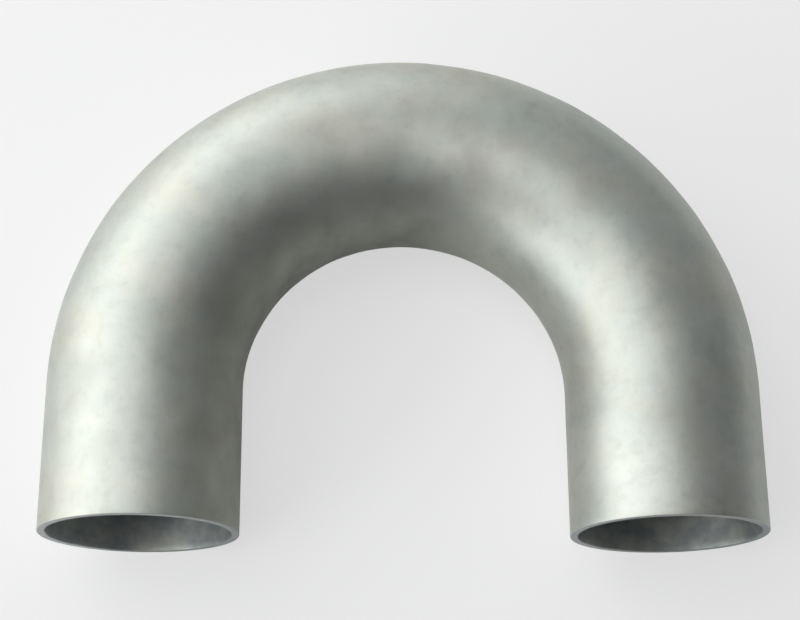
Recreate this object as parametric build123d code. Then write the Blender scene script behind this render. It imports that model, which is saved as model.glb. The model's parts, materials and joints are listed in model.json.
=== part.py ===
from build123d import *
import os

# Butt weld return bend: one length of pipe turned through 180 degrees, with a straight leg
# at each end, cut square for welding. Sizes are in millimetres.
# It lies on its side: X runs across the two legs, Y along them towards the crown of the bend,
# and Z up. The origin is on the floor, under the middle of the bend's overall length and width.

# Driving dimensions
pipe_od = 114.3
wall = 4.5
bend_radius = 152.4
leg_length = 85.0
edge_break = 0.4
# Turning the pipe stretches its wall at the back of the crown and gathers it in the throat,
# each by this share of the wall.
crown_thinning = 0.10

# Sizes worked out from them
outer_radius = pipe_od / 2
bore_radius = outer_radius - wall
bore_shift = crown_thinning * wall
overall_length = leg_length + bend_radius + outer_radius
bend_centre_y = leg_length - overall_length / 2


def half_turn(radius):
    """The round bar of the bend itself, turned through 180 degrees about the bend's centre."""
    section = Plane.XZ * Pos(bend_radius, 0) * Circle(radius)
    return revolve(section, axis=Axis.Z, revolution_arc=180)


def leg(side, radius, length):
    """A straight round bar on one side, -1 or 1, from the end of the half turn outwards."""
    turn_end = Plane(origin=(side * bend_radius, 0, 0), z_dir=(0, -1, 0))
    return extrude(turn_end * Circle(radius), amount=length)


def return_bar(radius, length):
    """A solid round bar along the whole return: one leg, the half turn and the other leg."""
    return leg(-1, radius, length) + half_turn(radius) + leg(1, radius, length)


def return_bend():
    """The pipe. Its bore turns a little further back than its outside, which thins the crown."""
    outside = return_bar(outer_radius, leg_length)
    past_the_ends = leg_length + pipe_od
    bore = Pos(0, bore_shift, 0) * return_bar(bore_radius, past_the_ends)
    pipe = outside - bore
    end_edges = pipe.edges().group_by(Axis.Y)[0]
    pipe = chamfer(end_edges, edge_break)
    return Pos(0, bend_centre_y, outer_radius) * pipe


os.makedirs("parts", exist_ok=True)
export_step(return_bend(), "parts/return_bend.step")
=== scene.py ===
"""Butt weld return bend: one blasted steel pipe turned through a half circle, lying on a pale floor.

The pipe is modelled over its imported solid, and the stage sets the floor, the lamps and the camera.
"""

import json
import math

import bpy
from bpy.props import (
    FloatProperty,
    FloatVectorProperty,
    IntProperty,
    PointerProperty,
)
from bpy.types import Operator, Panel, PropertyGroup
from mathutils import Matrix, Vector


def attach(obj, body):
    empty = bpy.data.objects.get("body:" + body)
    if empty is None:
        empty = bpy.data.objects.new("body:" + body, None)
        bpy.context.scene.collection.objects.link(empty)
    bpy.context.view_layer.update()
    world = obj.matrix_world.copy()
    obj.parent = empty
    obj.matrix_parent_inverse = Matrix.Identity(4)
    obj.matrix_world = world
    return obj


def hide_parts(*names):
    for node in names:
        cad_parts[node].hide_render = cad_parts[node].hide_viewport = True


bl_info = {
    "name": "Butt Weld Return Bend",
    "version": (1, 0, 0),
    "blender": (4, 5, 0),
    "location": "3D View > Sidebar > Return Bend",
    "description": "Models a blasted steel return bend and its studio",
    "category": "Add Mesh",
}

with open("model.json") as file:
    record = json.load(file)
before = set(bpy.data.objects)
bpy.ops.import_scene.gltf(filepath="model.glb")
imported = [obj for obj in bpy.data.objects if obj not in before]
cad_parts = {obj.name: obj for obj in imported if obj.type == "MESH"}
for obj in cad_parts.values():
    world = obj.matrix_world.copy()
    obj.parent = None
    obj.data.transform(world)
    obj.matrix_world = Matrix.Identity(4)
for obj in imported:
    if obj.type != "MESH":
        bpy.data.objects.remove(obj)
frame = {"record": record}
mounts = {mount["name"]: mount for mount in frame["record"]["mounts"]}

# The pipe's own sizes, read from its right end, in metres.
OUTSIDE = mounts["right_end_outside"]
OUTER_RADIUS = OUTSIDE["dims"]["r_mm"] / 1000
LEG_LENGTH = OUTSIDE["dims"]["length_mm"] / 1000
BORE_RADIUS = mounts["right_end_bore"]["dims"]["r_mm"] / 1000
BEND_RADIUS, _, AXIS_HEIGHT = OUTSIDE["pos_m"]
END_Y = mounts["right_end_face"]["pos_m"][1]
TURN_Y = END_Y + LEG_LENGTH

# Places closer together than this are the same place.
SAME_PLACE = 1e-5

# Soft dark smudges and pale patches on the upper side: where each is, seen from above, how far
# it reaches and how strongly it shows. Places and reaches are in metres. The smudges are partly
# stains and partly painted shade, most of them on the inside of the crown and the left leg. The
# pale patches are partly cleaner blasting and partly painted highlights, the strongest of them on
# the inner side of the right leg next to its end.
SMUDGES = (
    ((-0.071, 0.029), 0.022, 0.80),
    ((-0.107, -0.026), 0.020, 0.60),
    ((-0.128, -0.058), 0.024, 0.35),
    ((-0.011, 0.067), 0.022, 0.70),
    ((-0.040, 0.055), 0.020, 0.45),
    ((-0.092, 0.058), 0.014, 0.30),
    ((0.040, 0.050), 0.018, 0.40),
    ((0.107, 0.037), 0.022, 0.55),
    ((0.149, -0.022), 0.026, 0.35),
    ((0.154, -0.095), 0.030, 0.30),
    ((-0.185, -0.066), 0.024, 0.45),
    ((-0.168, -0.110), 0.016, 0.20),
)
PALE_PATCHES = (
    ((-0.043, 0.029), 0.020, 0.70),
    ((0.017, 0.061), 0.024, 0.60),
    ((0.064, 0.020), 0.024, 0.60),
    ((-0.081, 0.001), 0.020, 0.50),
    ((-0.127, -0.002), 0.024, 0.50),
    ((-0.151, -0.130), 0.026, 0.30),
    ((0.178, -0.115), 0.028, 0.35),
    ((0.192, -0.045), 0.026, 0.30),
    ((0.136, -0.128), 0.040, 0.90),
    ((0.108, -0.110), 0.036, 0.80),
)

# How wide the patterns in the steel are, in metres.
WARM_CLOUDS = 0.06
COOL_CLOUDS = 0.035
MOTTLE = 0.02
BLOTCHES = 0.011
FLECKS = 0.005
ORANGE_PEEL = 0.006
WEAR = 0.006

# How far mottle and smudges are pushed out of their round shape, and how wide each push is.
PUSH_REACH = 0.009
PUSH_WIDTH = 0.03

# The fine parallel lines across the cut ends: their width, their depth, and how much they are
# drawn out along X, as the share of the pattern's scale that is left there.
SAW_LINES = 0.0004
SAW_LINE_DEPTH = 0.00002
SAW_LINE_DRAW = 0.05

# The painted shade on the inside of the bend starts this far from the bend's centre, and is gone by
# this X, so that it lies only on the left leg and the crown.
FILM_STARTS = BEND_RADIUS - 0.4 * OUTER_RADIUS
FILM_GONE_X = 0.055

# The share of a leg next to its cut end that keeps its plain round shape.
PLAIN_END = 0.15

# Edges that turn by more than this stay sharp.
SHARP_ANGLE = math.radians(40)

# The order of the pipe's materials.
OUTSIDE_STEEL, BORE_STEEL, CUT_STEEL = range(3)

# The stage: the floor's width and the lamps' distance in metres, and the camera's sensor in
# millimetres.
FLOOR_WIDTH = 12
LAMP_DISTANCE = 1.6
SENSOR_WIDTH = 36

# The lamps: name, azimuth, elevation, width, height and power in watts.
# Azimuth runs from the open ends' side, with the right-hand side at 90 degrees.
LAMPS = (
    ("key_front", -60, 17, 0.8, 1.0, 9.3),
    ("key_side", -105, 17, 1.5, 1.0, 7.7),
    ("key_high", -105, 46, 1.5, 1.0, 7.6),
    ("back_left", -150, 23, 0.8, 1.2, 6.3),
    ("back", 180, 23, 0.8, 1.2, 2.9),
    ("top", -90, 80, 1.0, 0.8, 4.4),
    ("fill", 130, 30, 1.2, 1.2, 1.05),
)


class PipeSizes(PropertyGroup):
    """What can be set on the pipe beyond the sizes that its ends give."""

    around: IntProperty(
        name="Steps Around",
        description="Flat steps round the pipe's section",
        default=128,
        min=24,
    )
    turn_steps: IntProperty(
        name="Steps Along the Turn",
        description="Rings of faces along the half turn",
        default=176,
        min=24,
    )
    leg_steps: IntProperty(
        name="Steps Along a Leg",
        description="Rings of faces along each straight leg",
        default=24,
        min=4,
    )
    bore_shift: FloatProperty(
        name="Bore Shift",
        description="How far the bore's turn sits behind the outside's, which thins the crown",
        default=0.00045,
        unit="LENGTH",
    )
    edge_break: FloatProperty(
        name="Edge Break",
        description="Rounding left on the cut ends by the deburring",
        default=0.0004,
        unit="LENGTH",
    )
    hollow_depth: FloatProperty(
        name="Hollow Depth",
        description="Depth of the shallow hollows that forming leaves in the turned wall",
        default=0.0004,
        unit="LENGTH",
    )
    hollow_size: FloatProperty(
        name="Hollow Size",
        description="Width of those hollows",
        default=0.024,
        unit="LENGTH",
    )


class SteelFinish(PropertyGroup):
    """The finish of the blasted steel and of its cut ends."""

    steel: FloatVectorProperty(
        name="Steel",
        description="Colour of the clean blasted surface",
        subtype="COLOR",
        default=(0.60, 0.63, 0.575),
    )
    warm: FloatVectorProperty(
        name="Warm Bloom",
        description="Colour of the faint yellowish bloom left by pickling",
        subtype="COLOR",
        default=(0.62, 0.615, 0.54),
    )
    cool: FloatVectorProperty(
        name="Cool Bloom",
        description="Colour of the faint greenish grey between the warm patches",
        subtype="COLOR",
        default=(0.56, 0.615, 0.58),
    )
    # Also the colour of the painted shade in some of the smudges.
    stain: FloatVectorProperty(
        name="Stain",
        description="Colour of the soft dark smudges",
        subtype="COLOR",
        default=(0.40, 0.415, 0.375),
    )
    # Also the colour of the painted highlights in some of the pale patches.
    pale: FloatVectorProperty(
        name="Pale Patch",
        description="Colour where the blasting bit cleanest",
        subtype="COLOR",
        default=(0.76, 0.79, 0.735),
    )
    scale: FloatVectorProperty(
        name="Scale",
        description="Colour of the thin bluish scale left in the bore",
        subtype="COLOR",
        default=(0.25, 0.275, 0.31),
    )
    # The colour of the painted shade along the inside of the bend, on the left leg and the crown; it
    # is no film on the steel.
    film: FloatVectorProperty(
        name="Throat Film",
        description="Colour of the thin dark film left on the inside of the bend",
        subtype="COLOR",
        default=(0.27, 0.277, 0.243),
    )
    cut: FloatVectorProperty(
        name="Cut Metal",
        description="Colour of the bare metal on the cut ends",
        subtype="COLOR",
        default=(0.40, 0.42, 0.43),
    )
    roughness: FloatProperty(
        name="Roughness",
        description="Roughness of the blasted surface",
        subtype="FACTOR",
        default=0.55,
        min=0,
        max=1,
    )
    cut_roughness: FloatProperty(
        name="Cut Roughness",
        description="Roughness of the cut ends",
        subtype="FACTOR",
        default=0.48,
        min=0,
        max=1,
    )
    grain_size: FloatProperty(
        name="Grain Size",
        description="Width of the dimples that the blasting leaves",
        default=0.0007,
        unit="LENGTH",
    )
    grain_depth: FloatProperty(
        name="Grain Depth",
        description="Depth of those dimples",
        default=0.00003,
        unit="LENGTH",
    )


class StudioSettings(PropertyGroup):
    """The floor, the lamps' level and the camera."""

    floor: FloatVectorProperty(
        name="Floor",
        description="Colour of the floor",
        subtype="COLOR",
        default=(0.9, 0.9, 0.9),
    )
    floor_white: FloatProperty(
        name="Floor White",
        description="Share of plain white in the floor as the camera sees it, which softens shadows",
        subtype="FACTOR",
        default=0.6,
        min=0,
        max=1,
    )
    mirrored_white: FloatProperty(
        name="Mirrored White",
        description="Share of plain white in the floor as the steel mirrors it",
        subtype="FACTOR",
        default=0.1,
        min=0,
        max=1,
    )
    surround: FloatVectorProperty(
        name="Surround",
        description="Colour of the dim room round the stage",
        subtype="COLOR",
        default=(0.1, 0.104, 0.112),
    )
    lamp_level: FloatProperty(
        name="Lamp Level",
        description="Share of each lamp's full power",
        subtype="FACTOR",
        default=1.0,
        min=0,
        soft_max=1,
    )
    camera_place: FloatVectorProperty(
        name="Camera Place",
        description="Where the camera stands",
        subtype="XYZ",
        unit="LENGTH",
        default=(-0.03914, -0.32713, 0.97822),
    )
    camera_turn: FloatVectorProperty(
        name="Camera Turn",
        description="The camera's rotation",
        subtype="EULER",
        unit="ROTATION",
        default=(math.radians(18.927), math.radians(-2.161), math.radians(-0.346)),
    )
    lens: FloatProperty(
        name="Lens",
        description="The camera's focal length on a 36 mm wide sensor, in millimetres",
        default=73.0,
    )


class Signal:
    """A value that a shader works out at each point, so that its maths reads as Python."""

    def __init__(self, shader, socket):
        self.shader = shader
        self.socket = socket

    def maths(self, operation, first, second):
        return self.shader.node("ShaderNodeMath", {"operation": operation}, {0: first, 1: second})

    def __add__(self, other):
        return self.maths("ADD", self, other)

    def __radd__(self, other):
        return self.maths("ADD", other, self)

    def __sub__(self, other):
        return self.maths("SUBTRACT", self, other)

    def __rsub__(self, other):
        return self.maths("SUBTRACT", other, self)

    def __mul__(self, other):
        return self.maths("MULTIPLY", self, other)

    def __rmul__(self, other):
        return self.maths("MULTIPLY", other, self)


class Shader:
    """A material's nodes. One method adds any of them, and the others are short names for some."""

    def __init__(self, name):
        self.material = bpy.data.materials.new(name)
        self.material.use_nodes = True
        self.tree = self.material.node_tree
        self.tree.nodes.clear()

    def node(self, kind, settings=None, inputs=None, output=0):
        """Adds a node, gives it its settings and then its inputs, and returns one of its outputs."""
        node = self.tree.nodes.new(kind)
        for name, value in (settings or {}).items():
            setattr(node, name, value)
        for name, value in (inputs or {}).items():
            if isinstance(value, Signal):
                self.tree.links.new(value.socket, node.inputs[name])
            else:
                node.inputs[name].default_value = value
        return Signal(self, node.outputs[output]) if node.outputs else None

    def place(self):
        """Where a point is on its own piece, in metres."""
        return self.node("ShaderNodeTexCoord", output="Object")

    def noise(self, place, size, detail=2.0, roughness=0.5):
        """Soft random light and dark, from 0 to 1, in patches about that wide."""
        inputs = {"Vector": place, "Scale": 1 / size, "Detail": detail, "Roughness": roughness}
        return self.node("ShaderNodeTexNoise", inputs=inputs)

    def band(self, value, low, high):
        """A smooth rise from 0 at the low value to 1 at the high one."""
        settings = {"interpolation_type": "SMOOTHSTEP"}
        inputs = {"Value": value, "From Min": low, "From Max": high}
        return self.node("ShaderNodeMapRange", settings, inputs)

    def blend(self, amount, first, second):
        """A colour that goes from the first to the second as the amount goes from 0 to 1."""
        inputs = {0: amount, 6: opaque(first), 7: opaque(second)}
        return self.node("ShaderNodeMix", {"data_type": "RGBA"}, inputs, output=2)

    def pushed(self, place, reach, size):
        """The place, pushed about by up to that reach, so that soft shapes lose their roundness."""
        inputs = {"Vector": place, "Scale": 1 / size, "Detail": 2.0}
        push = self.node("ShaderNodeTexNoise", inputs=inputs, output="Color")
        inputs = {0: push, 1: (2 * reach,) * 3, 2: (-reach,) * 3}
        push = self.node("ShaderNodeVectorMath", {"operation": "MULTIPLY_ADD"}, inputs)
        return self.node("ShaderNodeVectorMath", {"operation": "ADD"}, {0: place, 1: push})

    def spots(self, place, patches):
        """Soft round patches on the pipe's upper side, each strongest at its centre."""
        total = 0.0
        for (x, y), reach, strength in patches:
            inputs = {0: place, 1: top_of_pipe(x, y)}
            distance = self.node("ShaderNodeVectorMath", {"operation": "DISTANCE"}, inputs, "Value")
            total = total + strength * self.band(distance, reach, 0.1 * reach)
        return total

    def finish(self, surface):
        """Puts the surface on the material's output, and returns the material."""
        self.node("ShaderNodeOutputMaterial", inputs={"Surface": surface})
        return self.material


def opaque(colour):
    """A colour with its opacity added, or a signal as it is."""
    return colour if isinstance(colour, Signal) else (*colour, 1.0)


def top_of_pipe(x, y):
    """The place on the pipe's outside that is seen at x, y from straight above."""
    across = math.hypot(x, max(y - TURN_Y, 0)) - BEND_RADIUS
    return x, y, AXIS_HEIGHT + math.sqrt(max(OUTER_RADIUS**2 - across**2, 0))


def bloomed(shader, place, finish):
    """The steel's own colour, with warmer and cooler clouds in it."""
    warmth = shader.band(shader.noise(place, WARM_CLOUDS, 5, 0.7), 0.4, 0.62)
    coolness = shader.band(shader.noise(place, COOL_CLOUDS, 5, 0.7), 0.46, 0.66)
    colour = shader.blend(0.7 * warmth, finish.steel, finish.warm)
    return shader.blend(0.6 * coolness, colour, finish.cool)


def in_the_throat(shader, place):
    """Where the painted shade lies: from 0 near the middle of the pipe to 1 at the inside of the
    bend, on the left and crown.
    """
    x = shader.node("ShaderNodeSeparateXYZ", inputs={0: place}, output="X")
    y = shader.node("ShaderNodeSeparateXYZ", inputs={0: place}, output="Y")
    past_the_leg = shader.node("ShaderNodeMath", {"operation": "MAXIMUM"}, {0: y - TURN_Y, 1: 0.0})
    squared = x * x + past_the_leg * past_the_leg
    from_centre = shader.node("ShaderNodeMath", {"operation": "SQRT"}, {0: squared})
    inner = shader.band(from_centre, FILM_STARTS, BEND_RADIUS - OUTER_RADIUS)
    return inner * shader.band(x, FILM_GONE_X, 0.0)


def dimpled(shader, place, finish):
    """The normal of a surface that blasting has left finely dimpled, over a soft orange peel."""
    grain = shader.noise(place, finish.grain_size, 3, 0.6)
    peel = shader.noise(place, ORANGE_PEEL, 3, 0.55)
    inputs = {"Height": grain + 1.5 * peel, "Strength": 1.0, "Distance": finish.grain_depth}
    return shader.node("ShaderNodeBump", inputs=inputs)


def steel_surface(shader, colour, roughness, normal):
    """Bare metal of that colour."""
    inputs = {"Base Color": colour, "Roughness": roughness, "Metallic": 1.0, "Normal": normal}
    return shader.finish(shader.node("ShaderNodeBsdfPrincipled", inputs=inputs))


def blasted_steel(finish):
    """Matte steel, blasted and pickled: fine dimples, faint bloom and soft smudges, with painted
    shade in some smudges, painted highlights in some pale patches and painted shade along the inside
    of the bend.
    """
    shader = Shader("blasted_steel")
    place = shader.place()
    wandering = shader.pushed(place, PUSH_REACH, PUSH_WIDTH)
    mottle = shader.noise(wandering, MOTTLE, 4, 0.6)
    blotches = shader.noise(place, BLOTCHES, 4, 0.62)
    flecks = shader.noise(place, FLECKS, 3, 0.65)
    # Dark smudges, partly stains and partly painted shade, and pale patches, partly cleaner blasting
    # and partly painted highlights.
    dark = shader.spots(wandering, SMUDGES)
    light = shader.spots(wandering, PALE_PATCHES)

    colour = bloomed(shader, wandering, finish)
    brighter = 0.5 * light + 0.22 * shader.band(mottle, 0.5, 0.75)
    brighter = brighter + 0.1 * shader.band(blotches, 0.52, 0.72)
    colour = shader.blend(brighter, colour, finish.pale)
    darker = 0.6 * dark + 0.28 * shader.band(mottle, 0.5, 0.25)
    darker = darker + 0.14 * shader.band(blotches, 0.5, 0.3)
    colour = shader.blend(darker, colour, finish.stain)
    colour = shader.blend(0.16 * shader.band(flecks, 0.48, 0.28), colour, finish.stain)
    # Painted shade along the inside of the bend, on the left leg and the crown.
    cover = (0.45 + 0.7 * mottle) * in_the_throat(shader, wandering)
    colour = shader.blend(cover, colour, finish.film)
    roughness = finish.roughness - 0.05 + 0.06 * mottle + 0.04 * flecks + 0.05 * dark
    return steel_surface(shader, colour, roughness, dimpled(shader, place, finish))


def scaled_bore(finish):
    """The inside of the pipe, where a thin dark scale is left over the steel."""
    shader = Shader("scaled_bore")
    place = shader.place()
    mottle = shader.noise(shader.pushed(place, PUSH_REACH, PUSH_WIDTH), MOTTLE, 4, 0.6)
    cover = 0.15 + 0.55 * shader.band(mottle, 0.35, 0.65)
    colour = shader.blend(cover, bloomed(shader, place, finish), finish.scale)
    roughness = finish.roughness + 0.06 * mottle
    return steel_surface(shader, colour, roughness, dimpled(shader, place, finish))


def cut_metal(finish):
    """Bare metal, sawn across and brushed: fine parallel lines and a cleaner, cooler grey."""
    shader = Shader("cut_metal")
    place = shader.place()
    drawn = shader.node("ShaderNodeMapping", inputs={"Vector": place, "Scale": (SAW_LINE_DRAW, 1, 1)})
    lines = shader.noise(drawn, SAW_LINES, 3, 0.6)
    wear = shader.noise(place, WEAR, 3)
    colour = shader.blend(0.4 * shader.band(wear, 0.4, 0.7), finish.cut, finish.steel)
    roughness = finish.cut_roughness - 0.06 + 0.12 * wear
    inputs = {"Height": lines, "Strength": 1.0, "Distance": SAW_LINE_DEPTH}
    return steel_surface(shader, colour, roughness, shader.node("ShaderNodeBump", inputs=inputs))


def floor_paper(studio):
    """A matte pale sheet, with a share of plain white as the camera or the steel sees it."""
    shader = Shader("floor_paper")
    inputs = {"Color": opaque(studio.floor), "Roughness": 1.0}
    sheet = shader.node("ShaderNodeBsdfDiffuse", inputs=inputs)
    glow = shader.node("ShaderNodeEmission", inputs={"Color": (1, 1, 1, 1), "Strength": 1.0})
    seen = shader.node("ShaderNodeLightPath", output="Is Camera Ray")
    mirrored = shader.node("ShaderNodeLightPath", output="Is Glossy Ray")
    through = shader.node("ShaderNodeLightPath", output="Is Transmission Ray")
    amount = studio.floor_white * seen + studio.mirrored_white * (mirrored + through)
    return shader.finish(shader.node("ShaderNodeMixShader", inputs={0: amount, 1: sheet, 2: glow}))


def deselect_everything():
    """Leaves nothing selected, so that the next operator acts only on what it adds."""
    bpy.ops.object.select_all(action="DESELECT")


def draw_skin(radius, shift, sizes):
    """Draws one skin of the wall from the right end on: a leg, the half turn and the other leg."""
    deselect_everything()
    bpy.ops.mesh.primitive_circle_add(
        vertices=sizes.around,
        radius=radius,
        fill_type="NOTHING",
        location=(BEND_RADIUS, END_Y, AXIS_HEIGHT),
        rotation=(math.pi / 2, 0, 0),
    )
    bpy.ops.object.transform_apply()
    bpy.ops.object.mode_set(mode="EDIT")
    bpy.ops.mesh.select_all(action="SELECT")
    step = (LEG_LENGTH + shift) / sizes.leg_steps
    for _ in range(sizes.leg_steps):
        bpy.ops.mesh.extrude_region_move(TRANSFORM_OT_translate={"value": (0, step, 0)})
    bpy.ops.mesh.spin(
        steps=sizes.turn_steps,
        angle=-math.pi,
        center=(0, TURN_Y + shift, AXIS_HEIGHT),
        axis=(0, 0, 1),
    )
    for _ in range(sizes.leg_steps):
        bpy.ops.mesh.extrude_region_move(TRANSFORM_OT_translate={"value": (0, -step, 0)})
    bpy.ops.object.mode_set(mode="OBJECT")
    return bpy.context.active_object


def turn_inside_out(skin):
    """Turns the faces of the bore's skin towards its own axis."""
    bpy.ops.object.mode_set(mode="EDIT")
    bpy.ops.mesh.select_all(action="SELECT")
    bpy.ops.mesh.flip_normals()
    bpy.ops.object.mode_set(mode="OBJECT")


def is_cut(place):
    """Whether a place is in the plane of the two cut ends."""
    return place.y < END_Y + SAME_PLACE


def off_axis(place):
    """How far a place is from the middle line of the pipe."""
    across = math.hypot(place.x, max(place.y - TURN_Y, 0)) - BEND_RADIUS
    return math.hypot(across, place.z - AXIS_HEIGHT)


def select_edges(pipe, wanted):
    """In edit mode, selects just the edges whose two ends pass the test."""
    bpy.ops.mesh.select_mode(type="EDGE")
    bpy.ops.mesh.select_all(action="DESELECT")
    bpy.ops.object.mode_set(mode="OBJECT")
    for edge in pipe.data.edges:
        first, second = (pipe.data.vertices[index].co for index in edge.vertices)
        edge.select = wanted(first, second)
    bpy.ops.object.mode_set(mode="EDIT")


def is_rim(first, second):
    """Whether an edge runs round a cut end, on the outside or at the bore."""
    level = abs(off_axis(first) - off_axis(second)) < SAME_PLACE
    return is_cut(first) and is_cut(second) and level


def cut_the_ends(pipe, sizes):
    """Closes the wall with a flat ring at each end, and breaks the ring's edges."""
    bpy.ops.object.mode_set(mode="EDIT")
    for side in (-1, 1):
        select_edges(pipe, lambda first, second: is_rim(first, second) and first.x * side > 0)
        bpy.ops.mesh.bridge_edge_loops()
    select_edges(pipe, is_rim)
    bpy.ops.mesh.bevel(offset=sizes.edge_break, segments=3, affect="EDGES")
    bpy.ops.mesh.select_all(action="SELECT")
    bpy.ops.mesh.remove_doubles(threshold=SAME_PLACE)
    bpy.ops.mesh.normals_make_consistent(inside=False)
    bpy.ops.object.mode_set(mode="OBJECT")


def form_the_wall(pipe, sizes):
    """Presses shallow hollows into the wall, all of them inwards and none at the cut ends."""
    formed = pipe.vertex_groups.new(name="formed")
    for vertex in pipe.data.vertices:
        along = (vertex.co.y - END_Y) / LEG_LENGTH
        formed.add([vertex.index], min(max(along - PLAIN_END, 0), 1), "REPLACE")
    clouds = bpy.data.textures.new("hollows", "CLOUDS")
    clouds.noise_scale = sizes.hollow_size
    clouds.noise_depth = 1
    press = pipe.modifiers.new("hollows", "DISPLACE")
    press.texture = clouds
    press.texture_coords = "LOCAL"
    press.vertex_group = formed.name
    press.mid_level = 1.0
    press.strength = sizes.hollow_depth
    bpy.ops.object.modifier_apply(modifier=press.name)
    pipe.vertex_groups.clear()


def material_at(place):
    """Which of the pipe's materials a place on it has."""
    if is_cut(place):
        return CUT_STEEL
    return BORE_STEEL if off_axis(place) < (OUTER_RADIUS + BORE_RADIUS) / 2 else OUTSIDE_STEEL


class MESH_OT_return_bend_pipe(Operator):
    """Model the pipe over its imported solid, with its wall, its cut ends and its finish"""

    bl_idname = "mesh.return_bend_pipe"
    bl_label = "Pipe"

    def execute(self, context):
        sizes = context.scene.return_bend_pipe
        finish = context.scene.return_bend_finish
        outside = draw_skin(OUTER_RADIUS, 0, sizes)
        bore = draw_skin(BORE_RADIUS, sizes.bore_shift, sizes)
        turn_inside_out(bore)
        outside.select_set(True)
        context.view_layer.objects.active = outside
        bpy.ops.object.join()
        pipe = context.active_object
        pipe.name = "pipe"
        cut_the_ends(pipe, sizes)
        form_the_wall(pipe, sizes)
        bpy.ops.object.shade_smooth_by_angle(angle=SHARP_ANGLE)
        for material in (blasted_steel(finish), scaled_bore(finish), cut_metal(finish)):
            pipe.data.materials.append(material)
        for face in pipe.data.polygons:
            face.material_index = material_at(face.center)
        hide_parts("return_bend")
        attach(pipe, "root")
        return {"FINISHED"}


def add_lamp(name, azimuth, elevation, width, height, power):
    """Adds a large flat lamp that faces the pipe and that the camera doesn't see."""
    turn, rise = math.radians(azimuth), math.radians(elevation)
    level = math.cos(rise)
    back = Vector((math.sin(turn) * level, -math.cos(turn) * level, math.sin(rise)))
    bpy.ops.object.light_add(
        type="AREA",
        location=Vector((0, 0, AXIS_HEIGHT)) + LAMP_DISTANCE * back,
        rotation=back.to_track_quat("Z", "Y").to_euler(),
    )
    lamp = bpy.context.active_object
    lamp.name = name
    lamp.visible_camera = False
    lamp.data.shape = "RECTANGLE"
    lamp.data.size = width
    lamp.data.size_y = height
    lamp.data.energy = power


class SCENE_OT_return_bend_stage(Operator):
    """Lay the floor and set the lamps and the camera"""

    bl_idname = "scene.return_bend_stage"
    bl_label = "Stage"

    def execute(self, context):
        scene = context.scene
        studio = scene.return_bend_studio
        deselect_everything()
        bpy.ops.mesh.primitive_plane_add(size=FLOOR_WIDTH, location=(0, 0, 0))
        floor = context.active_object
        floor.name = "floor"
        floor.data.materials.append(floor_paper(studio))
        for *settings, power in LAMPS:
            add_lamp(*settings, studio.lamp_level * power)
        scene.world = bpy.data.worlds.new("surround")
        scene.world.use_nodes = True
        room = scene.world.node_tree.nodes["Background"]
        room.inputs["Color"].default_value = opaque(studio.surround)
        bpy.ops.object.camera_add(location=studio.camera_place, rotation=studio.camera_turn)
        camera = context.active_object
        camera.data.sensor_width = SENSOR_WIDTH
        camera.data.lens = studio.lens
        scene.camera = camera
        scene.view_settings.view_transform = "Standard"
        return {"FINISHED"}


class VIEW3D_PT_return_bend(Panel):
    """Lists the pipe and the stage in the sidebar"""

    bl_label = "Return Bend"
    bl_idname = "VIEW3D_PT_return_bend"
    bl_space_type = "VIEW_3D"
    bl_region_type = "UI"
    bl_category = "Return Bend"

    def draw(self, context):
        scene = context.scene
        for group in (scene.return_bend_pipe, scene.return_bend_finish, scene.return_bend_studio):
            box = self.layout.box()
            for name in group.__annotations__:
                box.prop(group, name)
        self.layout.operator(MESH_OT_return_bend_pipe.bl_idname)
        self.layout.operator(SCENE_OT_return_bend_stage.bl_idname)


CLASSES = (
    PipeSizes,
    SteelFinish,
    StudioSettings,
    MESH_OT_return_bend_pipe,
    SCENE_OT_return_bend_stage,
    VIEW3D_PT_return_bend,
)


def register():
    for cls in CLASSES:
        bpy.utils.register_class(cls)
    bpy.types.Scene.return_bend_pipe = PointerProperty(type=PipeSizes)
    bpy.types.Scene.return_bend_finish = PointerProperty(type=SteelFinish)
    bpy.types.Scene.return_bend_studio = PointerProperty(type=StudioSettings)


def unregister():
    del bpy.types.Scene.return_bend_studio
    del bpy.types.Scene.return_bend_finish
    del bpy.types.Scene.return_bend_pipe
    for cls in reversed(CLASSES):
        bpy.utils.unregister_class(cls)


def main():
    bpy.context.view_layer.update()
    register()
    bpy.ops.mesh.return_bend_pipe()
    bpy.ops.scene.return_bend_stage()


if __name__ == "__main__":
    main()
